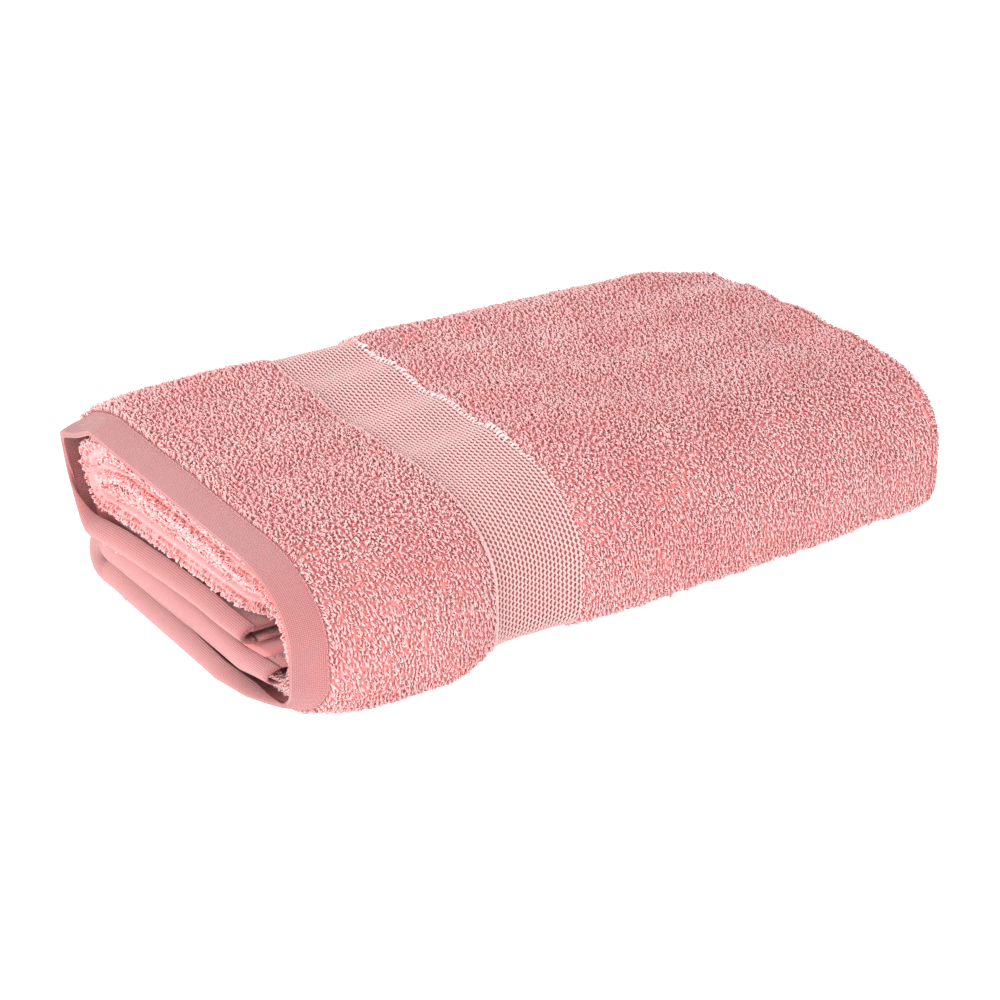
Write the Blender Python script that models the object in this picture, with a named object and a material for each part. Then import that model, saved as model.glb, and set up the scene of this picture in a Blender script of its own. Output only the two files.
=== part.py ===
"""Bath towel of terry cloth, folded in quarters along its length, then again across its width.

Metres, +Z up. The origin is the bottom centre of the folded towel's box: +X runs along the
folded length away from the end hems, +Y from the round near fold to the far folds.
"""
import math

import bmesh
import bpy

# The cloth, laid flat.
CLOTH_LENGTH = 1.400        # from end hem to end hem
CLOTH_WIDTH = 0.700         # from side hem to side hem
END_HEM = 0.0175            # flat-woven hem across each end
SIDE_HEM = 0.009            # narrow hem along each side
BORDER_START = 0.0975       # from the end of the cloth to the border band
BORDER_WIDTH = 0.0455       # flat-woven band with a raised net

# The folded stack.
TOP_PITCH = 0.0072          # one layer of cloth in the upper half, which lies loose
BOTTOM_PITCH = 0.0034       # one layer in the lower half, which the weight presses
PILE_FILL = 0.88            # share of a layer's pitch that terry pile fills
HEM_FILL = 0.34             # share that a turned hem fills
BAND_FILL = 0.40            # share that the border band fills
INNER_BEND = 0.001          # radius left inside the tightest fold across the width
HALF_GAP = 0.0004           # between the upper and the lower half of the stack
SELVEDGE_INSET = 0.040      # from the round near fold to the side hems inside it
BEND_PITCH = 0.0048         # one layer of cloth where the length folds back
ROLL_SETBACK = 0.004        # middle fold, behind the edge of the outer end hem
INNER_HEM_SETBACK = 0.014   # inner end hem, behind the edge of the outer one
ZONE_GAP = 0.0004           # between one woven zone and the next
NEAR_SLUMP = 0.25           # share of the height that the near side has lost
END_RISE = 0.04             # how much taller the folded end is than the hem end

# Threads.
THREAD_RADIUS = 0.0002      # sewing thread and raised float cord
THREAD_GAP = 0.00035        # between a thread and the cloth it lies on
STITCH_INSET = 0.0022       # from the inner edge of a hem to its row of stitches
FLOAT_INSET = 0.0012        # from the edge of the border band to its float cord

# Layers and spans. Both the length and the width are folded in four runs and three bends.
OUTER_LAYER, SECOND_LAYER, THIRD_LAYER, INNER_LAYER = 0.5, 1.5, 2.5, 3.5
OUTER_TURN = 1.5            # radius, in layers, of the bend that joins the first and last
INNER_TURN = 0.5            # radius of a bend between two neighbouring layers
SPANS = 7
ROUND = 2.0                 # exponent of a bend's outline: 2 is a circle, more is squarer
FAR_TOP_BEND = (ROUND, 2.8)     # first and second quarter of each bend, across the width
NEAR_SIDE_BEND = (2.2, 5.0)
FAR_BOTTOM_BEND = (2.4, ROUND)
LENGTH_CUTS = (4, 6, 4, 4, 4, 4, 4)
WIDTH_CUTS = (3, 8, 3, 12, 3, 6, 3)
SAME_PLACE = 1e-4           # stations nearer than this are one

STACK_LAYERS = 3 + PILE_FILL
TOP_BEND = STACK_LAYERS * TOP_PITCH + INNER_BEND
BOTTOM_BEND = STACK_LAYERS * BOTTOM_PITCH + INNER_BEND
HEIGHT = 2 * (TOP_BEND + BOTTOM_BEND) + HALF_GAP
NEAR_BEND = HEIGHT / 2
LOWER_HALF = 2 * BOTTOM_BEND

# The outer layer's own mid-line has the cloth's width and the whole mid-line its length.
MEAN_LAYER = PILE_FILL * (TOP_PITCH + BOTTOM_PITCH) / 2
WIDTH_BENDS = math.pi * (TOP_BEND + NEAR_BEND + BOTTOM_BEND - 1.5 * MEAN_LAYER)
WIDTH = (CLOTH_WIDTH - WIDTH_BENDS) / 4 + (TOP_BEND + BOTTOM_BEND + NEAR_BEND) / 2 + SELVEDGE_INSET / 2
ROLL_CENTRE = ROLL_SETBACK + (INNER_TURN + PILE_FILL / 2) * BEND_PITCH
LENGTH_BENDS = math.pi * BEND_PITCH * (OUTER_TURN + 2 * INNER_TURN)
BEND_CENTRE = (CLOTH_LENGTH - LENGTH_BENDS + 2 * ROLL_CENTRE + INNER_HEM_SETBACK) / 4
LENGTH = BEND_CENTRE + (OUTER_TURN + PILE_FILL / 2) * BEND_PITCH


def blend(start, end, share):
    return start + (end - start) * share


def split_station(station):
    """Return the span that a station lies on and its share of that span."""
    span = min(int(station), SPANS - 1)
    return span, station - span


def pitch(width_station):
    """Thickness of one layer: loose above, pressed below, changing round the near fold."""
    return blend(TOP_PITCH, BOTTOM_PITCH, min(max(width_station - 3, 0), 1))


def length_point(length_station, lift):
    """Return x and the depth in layers; lift moves towards the cloth's outer face."""
    span, share = split_station(length_station)
    turn = math.pi * share
    if span == 0:
        return BEND_CENTRE * share, OUTER_LAYER - lift
    if span == 1:
        radius = OUTER_TURN + lift
        return BEND_CENTRE + radius * BEND_PITCH * math.sin(turn), 2 - radius * math.cos(turn)
    if span == 2:
        return blend(BEND_CENTRE, ROLL_CENTRE, share), INNER_LAYER + lift
    if span == 3:
        radius = INNER_TURN + lift
        return ROLL_CENTRE - radius * BEND_PITCH * math.sin(turn), 3 + radius * math.cos(turn)
    if span == 4:
        return blend(ROLL_CENTRE, BEND_CENTRE, share), THIRD_LAYER - lift
    if span == 5:
        radius = INNER_TURN - lift
        return BEND_CENTRE + radius * BEND_PITCH * math.sin(turn), 2 + radius * math.cos(turn)
    return blend(BEND_CENTRE, INNER_HEM_SETBACK, share), SECOND_LAYER + lift


def bend_point(radius, share, outline):
    """Return how far out and how far up a half turn is, from its start (up) to its end (down)."""
    turn = math.pi * share
    power = 2 / outline[0 if share < 0.5 else 1]
    rise = math.cos(turn)
    return radius * max(math.sin(turn), 0) ** power, radius * math.copysign(abs(rise) ** power, rise)


def width_point(width_station, depth):
    """Return y and z of the folded stack's section, before it slumps."""
    span, share = split_station(width_station)
    if span == 0:
        return blend(SELVEDGE_INSET, WIDTH - TOP_BEND, share), LOWER_HALF + HALF_GAP + depth
    if span == 1:
        out, rise = bend_point(TOP_BEND - depth, share, FAR_TOP_BEND)
        return WIDTH - TOP_BEND + out, HEIGHT - TOP_BEND - rise
    if span == 2:
        return blend(WIDTH - TOP_BEND, NEAR_BEND, share), HEIGHT - depth
    if span == 3:
        out, rise = bend_point(NEAR_BEND - depth, share, NEAR_SIDE_BEND)
        return NEAR_BEND - out, NEAR_BEND + rise
    if span == 4:
        return blend(NEAR_BEND, WIDTH - BOTTOM_BEND, share), depth
    if span == 5:
        out, rise = bend_point(BOTTOM_BEND - depth, share, FAR_BOTTOM_BEND)
        return WIDTH - BOTTOM_BEND + out, BOTTOM_BEND - rise
    return blend(WIDTH - BOTTOM_BEND, SELVEDGE_INSET, share), LOWER_HALF - depth


def cloth_point(length_station, width_station, lift):
    """Place a point of the cloth: lift is a share of the layer's pitch from its mid-line."""
    x, layers = length_point(length_station, lift)
    outer_face = OUTER_LAYER - PILE_FILL / 2
    y, z = width_point(width_station, (layers - outer_face) * pitch(width_station))
    near_share = 1 - NEAR_SLUMP * (1 - y / WIDTH)
    end_share = 1 + END_RISE * (x / LENGTH - 0.5)
    return (x - LENGTH / 2, y - WIDTH / 2, z * near_share * end_share)


def stations(first, last, cuts):
    """Divide each span evenly, and keep what lies between first and last."""
    values = [first]
    for span, count in enumerate(cuts):
        values += [span + step / count for step in range(count)]
    inner = [value for value in values if first + SAME_PLACE < value < last - SAME_PLACE]
    return [first, *inner, last]


def outer_end(distance):
    """Length station on the outer layer at a distance from the outer end hem's edge."""
    return distance / BEND_CENTRE


def inner_end(distance):
    """Length station on the second layer at a distance from the inner end hem's edge."""
    return SPANS - distance / (BEND_CENTRE - INNER_HEM_SETBACK)


def upper_side(distance):
    """Width station at a distance from the side hem in the upper half."""
    return distance / (WIDTH - TOP_BEND - SELVEDGE_INSET)


def lower_side(distance):
    """Width station at a distance from the side hem in the lower half."""
    return SPANS - distance / (WIDTH - BOTTOM_BEND - SELVEDGE_INSET)


def plain_material(name, colour, roughness):
    material = bpy.data.materials.new(name)
    material.use_nodes = True
    shader = material.node_tree.nodes["Principled BSDF"]
    shader.inputs["Base Color"].default_value = (*colour, 1)
    shader.inputs["Roughness"].default_value = roughness
    shader.inputs["Metallic"].default_value = 0
    return material


def add_object(name, data, collection, material):
    data.materials.append(material)
    piece = bpy.data.objects.new(name, data)
    collection.objects.link(piece)
    return piece


def zone(name, length_range, width_range, fill, collection, material):
    """One woven zone: a flat grid laid along the folds, extruded to the zone's thickness."""
    along = stations(*length_range, LENGTH_CUTS)
    across = stations(*width_range, WIDTH_CUTS)
    grid = bmesh.new()
    columns = len(along) - 1
    rows = len(across) - 1
    bmesh.ops.create_grid(grid, x_segments=columns, y_segments=rows, size=0.5)
    outer_verts = list(grid.verts)
    extruded = bmesh.ops.extrude_face_region(grid, geom=list(grid.faces))["geom"]
    inner_verts = [item for item in extruded if isinstance(item, bmesh.types.BMVert)]
    for verts, lift in ((outer_verts, fill / 2), (inner_verts, -fill / 2)):
        for vert in verts:
            column = round((vert.co.x + 0.5) * columns)
            row = round((vert.co.y + 0.5) * rows)
            vert.co = cloth_point(along[column], across[row], lift)
    bmesh.ops.recalc_face_normals(grid, faces=list(grid.faces))
    if grid.calc_volume(signed=True) < 0:
        bmesh.ops.reverse_faces(grid, faces=list(grid.faces))
    mesh = bpy.data.meshes.new(name)
    grid.to_mesh(mesh)
    grid.free()
    return add_object(name, mesh, collection, material)


def thread(name, points, collection, material):
    """A thin round thread through points of the cloth."""
    curve = bpy.data.curves.new(name, "CURVE")
    curve.dimensions = "3D"
    curve.bevel_depth = THREAD_RADIUS
    curve.bevel_resolution = 1
    curve.use_fill_caps = True
    spline = curve.splines.new("POLY")
    spline.points.add(len(points) - 1)
    for spot, point in zip(spline.points, points):
        spot.co = (*point, 1)
    return add_object(name, curve, collection, material)


def thread_lift(width_station, fill):
    return fill / 2 + (THREAD_GAP + THREAD_RADIUS) / pitch(width_station)


def cross_thread(name, length_station, fill, collection, material):
    """A thread across the cloth, from side to side."""
    across = stations(upper_side(ZONE_GAP + SIDE_HEM), lower_side(ZONE_GAP + SIDE_HEM), WIDTH_CUTS)
    points = [cloth_point(length_station, station, thread_lift(station, fill)) for station in across]
    return thread(name, points, collection, material)


def side_thread(name, width_station, collection, material):
    """A thread along the side hem, from end hem to end hem."""
    along = stations(outer_end(END_HEM + ZONE_GAP), inner_end(END_HEM + ZONE_GAP), LENGTH_CUTS)
    lift = thread_lift(width_station, HEM_FILL)
    points = [cloth_point(station, width_station, lift) for station in along]
    return thread(name, points, collection, material)


def build_end(letter, place, collection, looks):
    """The zones at one end of the cloth: hem, short pile, border band and their threads."""
    whole_width = (0, SPANS)
    between_hems = (upper_side(SIDE_HEM + ZONE_GAP), lower_side(SIDE_HEM + ZONE_GAP))
    edges = {
        "end_hem": (0, END_HEM, whole_width, HEM_FILL, "hem"),
        "short_pile": (END_HEM + ZONE_GAP, BORDER_START - ZONE_GAP, between_hems, PILE_FILL, "pile"),
        "border_band": (BORDER_START, BORDER_START + BORDER_WIDTH, between_hems, BAND_FILL, "band"),
    }
    for name, (start, end, across, fill, look) in edges.items():
        along = sorted((place(start), place(end)))
        zone(f"{name}_{letter}", along, across, fill, collection, looks[look])
    rows = {
        "end_hem_stitching": (END_HEM - STITCH_INSET, HEM_FILL, "thread"),
        "border_float_outer": (BORDER_START + FLOAT_INSET, BAND_FILL, "float"),
        "border_float_inner": (BORDER_START + BORDER_WIDTH - FLOAT_INSET, BAND_FILL, "float"),
    }
    for name, (distance, fill, look) in rows.items():
        cross_thread(f"{name}_{letter}", place(distance), fill, collection, looks[look])


def build_field_and_sides(collection, looks):
    """The long terry field between the borders, and the side hems with their stitching."""
    field_start = BORDER_START + BORDER_WIDTH + ZONE_GAP
    field = (outer_end(field_start), inner_end(field_start))
    between_hems = (upper_side(SIDE_HEM + ZONE_GAP), lower_side(SIDE_HEM + ZONE_GAP))
    zone("main_pile_field", field, between_hems, PILE_FILL, collection, looks["pile"])
    side_length = (outer_end(END_HEM + ZONE_GAP), inner_end(END_HEM + ZONE_GAP))
    zone("side_hem_upper", side_length, (0, upper_side(SIDE_HEM)), HEM_FILL, collection, looks["hem"])
    zone("side_hem_lower", side_length, (lower_side(SIDE_HEM), SPANS), HEM_FILL, collection, looks["hem"])
    row = SIDE_HEM - STITCH_INSET
    side_thread("side_stitching_upper", upper_side(row), collection, looks["thread"])
    side_thread("side_stitching_lower", lower_side(row), collection, looks["thread"])


def main():
    for old in list(bpy.data.objects):
        bpy.data.objects.remove(old, do_unlink=True)
    collection = bpy.data.collections.new("folded_bath_towel")
    bpy.context.scene.collection.children.link(collection)
    looks = {
        "pile": plain_material("terry_pile", (0.83, 0.36, 0.37), 0.95),
        "hem": plain_material("hem_weave", (0.86, 0.45, 0.43), 0.85),
        "band": plain_material("border_weave", (0.84, 0.42, 0.42), 0.85),
        "thread": plain_material("sewing_thread", (0.88, 0.50, 0.48), 0.70),
        "float": plain_material("float_yarn", (0.90, 0.60, 0.58), 0.75),
    }
    build_end("a", outer_end, collection, looks)
    build_end("b", inner_end, collection, looks)
    build_field_and_sides(collection, looks)


main()
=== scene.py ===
"""Folded terry bath towel: cloth, pile loops, border nets, hems and stitching."""
import math

import bmesh
import bpy
import numpy as np
from bpy.props import FloatProperty, FloatVectorProperty, IntProperty, PointerProperty
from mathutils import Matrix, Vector


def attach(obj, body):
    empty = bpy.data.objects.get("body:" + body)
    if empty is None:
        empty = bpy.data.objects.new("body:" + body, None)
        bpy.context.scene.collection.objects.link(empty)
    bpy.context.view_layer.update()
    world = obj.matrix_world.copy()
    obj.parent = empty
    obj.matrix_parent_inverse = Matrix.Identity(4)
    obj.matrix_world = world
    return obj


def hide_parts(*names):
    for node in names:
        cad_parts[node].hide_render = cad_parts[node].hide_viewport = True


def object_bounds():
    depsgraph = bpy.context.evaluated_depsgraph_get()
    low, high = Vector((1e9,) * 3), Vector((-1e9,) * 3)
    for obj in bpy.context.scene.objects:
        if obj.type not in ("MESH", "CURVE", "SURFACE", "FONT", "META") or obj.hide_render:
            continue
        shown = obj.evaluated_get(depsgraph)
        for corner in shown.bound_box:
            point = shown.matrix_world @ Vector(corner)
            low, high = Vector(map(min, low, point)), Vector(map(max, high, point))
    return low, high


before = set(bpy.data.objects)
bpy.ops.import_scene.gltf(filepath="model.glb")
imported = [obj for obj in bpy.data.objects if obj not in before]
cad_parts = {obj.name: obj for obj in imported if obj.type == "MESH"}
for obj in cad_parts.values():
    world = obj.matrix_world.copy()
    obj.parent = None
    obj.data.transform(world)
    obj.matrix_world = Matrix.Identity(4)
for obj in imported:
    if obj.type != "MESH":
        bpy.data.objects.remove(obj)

bl_info = {
    "name": "Folded Bath Towel",
    "version": (1, 0, 0),
    "blender": (4, 5, 0),
    "location": "3D View > Sidebar > Towel",
    "description": "Builds a folded terry bath towel with woven borders and looped pile",
    "category": "Add Mesh",
}

CAD_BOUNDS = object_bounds()
BOX_LOW, BOX_HIGH = (np.array(corner, dtype=float) for corner in CAD_BOUNDS)
BODY = "root"
MILLIMETRE = 0.001

# Stations: whole numbers are where a run ends and a bend starts, for the length and the width.
SPANS = 7
LAST_STATION = SPANS - 1e-6
LEAST_STEP = 1e-9           # shorter steps, where the floor cuts the towel off, have no direction
OUTER_LAYER, SECOND_LAYER, THIRD_LAYER, INNER_LAYER = 0.5, 1.5, 2.5, 3.5
OUTER_TURN, INNER_TURN = 1.5, 0.5
NEAR_SIDE = 3               # width station where the near side begins
FAR_TOP_BEND = (2.0, 2.8)
NEAR_SIDE_BEND = (2.2, 5.5)
FAR_BOTTOM_BEND = (2.4, 2.0)
HEM_END_BEND = (2.4, 1.15)  # the far top bend at the hem end, where it is pressed to a corner
HEM_END_LIFT = 0.62         # how far that corner lies above the bend's middle, in bend radii
HEM_END_REACH = 0.055       # how far from the hem end the corner has faded out
CORNER_REACH = (0.034, 0.028, 0.016)    # inset of the near corners: upper, its middle, lower
CORNER_FADE = (0.03, 0.11)  # from where to where that inset fades into the side hems' own

# How the hem end is laid, by width station: front of the outer hem, depth of its curl, front of
# the middle fold, edge of the inner hem (millimetres), and layers that the fold swells by,
# outwards and inwards.
END_LAYOUT = (
    (0, -1, 8, 16, 3, 0, 0.4),
    (0.08, -0.8, 8.5, 9, 3, 0.05, 0.7),
    (0.15, -0.5, 8.5, 5, 3, 0.1, 0.9),
    (0.31, 1, 9, 5, 4.5, 0.1, 1),
    (0.52, 1.5, 9, 5.5, 6.5, 0.1, 1),
    (0.85, 1, 8.5, 6, 9.5, 0.1, 0.7),
    (1, 0, 7, 6, 11, 0.2, 0),
    (1.25, -1, 3, 5, 14, 0.6, 0),
    (1.6, -0.5, 0, 4, 15, 0.9, 0),
    (2, 0, 0, 2.5, 15, 0.95, 0),
    (2.2, 0, 0, 2, 15, 0.95, -1),
    (2.85, 0, 0, 2, 15, 0.95, -1),
    (3, 0, 0, 2.5, 15, 0.95, -0.5),
    (3.3, 0, 0, 5, 15, 0.9, 0),
    (3.66, 0, 0, 7, 16, 0.8, 0),
    (3.85, -2, 4.5, 8, 18, 0.4, 0),
    (4.07, -3.4, 10, 14, 20, 0, 0),
    (4.29, 0.4, 11.2, 17, 22, 0, 0),
    (4.5, 4, 11.4, 19, 24, 0, 0),
    (4.76, 8.5, 11.5, 23, 28, 0, 0),
    (5, 13, 11.5, 26, 31, 0, 0),
    (5.5, 12.5, 12, 26, 31, 0, 0),
    (6, 12.5, 14, 26, 31, 0, 0),
    (6.34, 8, 14.5, 24, 28, 0, 0),
    (6.59, 4.5, 14.5, 20, 25, 0, 0),
    (6.84, -0.7, 13.5, 16, 20, 0, 0),
    (7, -2, 9, 14, 18, 0, 0),
)
FULL_CURL = 0.006           # curl depth from which the hem follows a half ellipse
FLATTEST_CURL = 0.0022      # least that a curled hem bulges
CURL_FADE = 0.075           # distance from the edge at which the curl has no effect left
FRONT_FADE = 0.085          # the same for the hem's front
HEM_DROOP = 0.0016          # how far the edge of an uncurled hem hangs
SWELL_REACH = 0.022         # how far behind its front the middle fold swells
ROLL_CREVICE = 0.0060       # depth of the crease along the middle of the inner roll
UNDERSIDE = (4.15, 4.85)    # width stations that the towel lies on, where the pile is pressed
UNDERSIDE_SHARE = 6         # one loop in this many stands there

# Width stations between which each part of the outside fades in and out.
NEAR_ZONE = (2.75, 3.35, 3.95, 4.15)
TOP_ZONE = (1.6, 2.0, 2.8, 3.2)
FAR_ZONE = (1.0, 1.3, 1.7, 2.0)
VALLEY_ZONE = (2.2, 2.8, 3.6, 4)
CREASE_ZONE = (3.35, 3.6, 3.9, 4.05)
# Middle and reach along the length of what is pressed in or bulges, in metres.
BAND_PLACE = (0.1195, 0.026)
BAND_EDGE_PLACE = (0.100, 0.020)
PUFF_PLACE = (0.052, 0.036)
SHOULDER_PLACE = (0.175, 0.055)
CREASE_PLACE = (0.25, 0.11)
# Depths and heights of the same, in metres.
BAND_DEPTHS = (0.0014, 0.0026, 0.001)   # top, near side, far side
BAND_EDGE_DEPTH = 0.0020
PUFF_HEIGHTS = (0.0008, 0.0075)         # top, near side
SHOULDER_HEIGHT, VALLEY_DEPTH = 0.0036, 0.0016
WAVE_DEPTH, CREASE_DEPTH, LUMP_DEPTH = 0.0011, 0.00035, 0.0005

# How the whole stack slumps, as shares of its height, width and length.
STACK_HEIGHT, FAR_RISE, END_CROWN, STACK_TWIST = 1.0125, 0.075, 0.18, 0.0825
FAR_CORNER_DROP = 0.08
NARROWING = (-0.0047, -0.068, -0.11)    # everywhere, towards the folded end, at both ends
FAR_GROWTH = 0.0204
END_GROWTH = (0.0127, -0.0184, -0.0254) # middle, towards the far side, at both sides

# Pile loops: stray in pitches along and across the cloth, spread of turn and lean, and hang.
STRAY_ALONG, STRAY_ACROSS = 0.28, 0.45
LOOP_TURN, LOOP_LEAN, LOOP_HANG = 0.5, 0.32, 0.75
HANGING_ZONE = (3.0, 3.6, 4.0, 4.2)
LOOP_HEIGHTS, LOOP_WIDTHS = (0.75, 1.2), (0.7, 1.35)    # least and most, in loop sizes

# Name, place, size (metres) and power (watts) of each soft light.
LIGHTS = (
    ("key", (-1.8, -0.45, 0.5), 0.9, 30),
    ("front", (0.1, -1.9, 0.6), 1.2, 6),
    ("top", (0.2, 0.5, 1.9), 1.6, 6),
)
AIM = (0, 0, 0.04)                          # what the lights point at
CAMERA_PLACE = (-0.5730, -0.8817, 0.5039)   # from the lowest corner of the towel's box
CAMERA_TURN = (-37.38, 21.33)               # degrees round and degrees down
CAMERA_LENS = 108


def metres(name, default, description):
    return FloatProperty(
        name=name, description=description, default=default, unit="LENGTH", precision=5
    )


def share_of(name, default, description):
    return FloatProperty(name=name, description=description, default=default)


def colour(name, default, description):
    return FloatVectorProperty(
        name=name, description=description, default=default, subtype="COLOR", size=3, min=0, max=1
    )


class TowelFold(bpy.types.PropertyGroup):
    """How the cloth is laid in the stack."""

    cloth_length: metres("Cloth length", 1.400, "Flat length of the towel, end hem to end hem")
    cloth_width: metres("Cloth width", 0.700, "Flat width of the towel, side hem to side hem")
    top_pitch: metres("Upper layer", 0.0072, "Thickness of one loose layer in the upper half")
    bottom_pitch: metres("Lower layer", 0.0034, "Thickness of one pressed layer in the lower half")
    bend_pitch: metres("End layer", 0.0048, "Thickness of one layer where the length folds back")
    inner_bend: metres("Inner bend", 0.001, "Radius left inside the tightest fold")
    half_gap: metres("Half gap", 0.0004, "Gap between the upper and the lower half")
    selvedge_inset: metres("Side hem inset", 0.040, "From the near fold to the side hems inside it")
    inner_hem_setback: metres("Inner hem setback", 0.014, "Inner end hem behind the outer one")
    pile_fill: share_of("Pile fill", 0.88, "Share of a layer that pile fills")
    near_slump: share_of("Near slump", 0.25, "Height lost at the near side")
    end_rise: share_of("End rise", 0.04, "Extra height of the folded end")


class TowelWeave(bpy.types.PropertyGroup):
    """Sizes of the woven zones, yarns and stitches."""

    end_hem: metres("End hem", 0.0175, "Width of the hem across each end")
    side_hem: metres("Side hem", 0.009, "Width of the hem along each side")
    border_start: metres("Border start", 0.0975, "From the end of the cloth to the border band")
    border_width: metres("Border width", 0.0455, "Width of the border band")
    hem_fill: share_of("Hem fill", 0.34, "Share of a layer that a hem fills")
    band_fill: share_of("Band fill", 0.40, "Share that the band fills")
    loop_pitch: metres("Loop pitch", 0.00164, "Distance from one pile loop to the next")
    loop_height: metres("Loop height", 0.0019, "Height of a pile loop")
    loop_width: metres("Loop width", 0.0011, "Distance between a loop's two feet")
    loop_yarn: metres("Loop yarn", 0.00042, "Radius of the pile yarn")
    net_pitch: metres("Net pitch", 0.00196, "Width of one mesh of the border's net")
    net_rise: metres("Net rise", 0.0013, "Half the length of one mesh of the net")
    net_yarn: metres("Net yarn", 0.00056, "Radius of the net's yarn")
    float_pitch: metres("Float pitch", 0.0024, "Distance between the border's raised floats")
    stitch_length: metres("Stitch length", 0.0026, "Length of one sewing stitch")
    thread: metres("Sewing thread", 0.00018, "Radius of the sewing thread")
    seed: IntProperty(name="Seed", description="Start of the random draws", default=7)


class TowelColours(bpy.types.PropertyGroup):
    """Colours of the yarns."""

    # The pile root colour is painted shade: the deep colour that shade between the loops gives,
    # laid on the lower part of each loop and on the whole ground cloth.
    pile_root_shade: colour("Pile root", (0.82, 0.28, 0.275), "Yarn deep in the pile")
    pile_tip: colour("Pile tip", (0.87, 0.54, 0.53), "Top of a pile loop")
    hem: colour("Hem", (0.50, 0.18, 0.177), "Flat-woven hem")
    # The band's ground is partly its own deeper colour and partly painted shade, darkened so the
    # holes in the net over it read as shade.
    band: colour("Band", (0.56, 0.15, 0.16), "Ground of the border band")
    net: colour("Net", (0.77, 0.46, 0.45), "Raised net of the border band")
    float_yarn: colour("Float", (0.92, 0.66, 0.64), "Raised floats at the border's edge")
    thread: colour("Thread", (0.68, 0.31, 0.30), "Sewing thread")
    floor: colour("Floor", (0.70, 0.70, 0.70), "Studio floor")


def smooth(value, low, high):
    share = np.clip((value - low) / (high - low), 0, 1)
    return share * share * (3 - 2 * share)


def hump(value, centre, spread):
    return np.exp(-(((value - centre) / spread) ** 2))


def plateau(value, centre, spread):
    return np.exp(-(((value - centre) / spread) ** 4))


def zone(value, begin, full, fade, end):
    """Rises from begin to full and falls again from fade to end."""
    return smooth(value, begin, full) * (1 - smooth(value, fade, end))


def unit(vectors, least=1e-12):
    """The vectors at length one, apart from those shorter than the least length."""
    return vectors / np.maximum(np.linalg.norm(vectors, axis=-1, keepdims=True), least)


def square_to(vectors, axis):
    """What is left of each vector square to the axis."""
    return vectors - axis * np.sum(vectors * axis, axis=-1, keepdims=True)


def distances_along(points):
    """How far each point is from the first one, along the line of points."""
    return np.concatenate([[0], np.cumsum(np.linalg.norm(np.diff(points, axis=0), axis=1))])


def bend_point(radius, share, outline):
    """How far out and how far up a half turn of a squarish bend is."""
    turn = np.pi * share
    power = np.where(share < 0.5, outline[0], outline[1])
    out, rise = np.clip(np.sin(turn), 0, 1), np.cos(turn)
    size = radius / (out ** power + np.abs(rise) ** power) ** (1 / power)
    return size * out, size * rise


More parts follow.
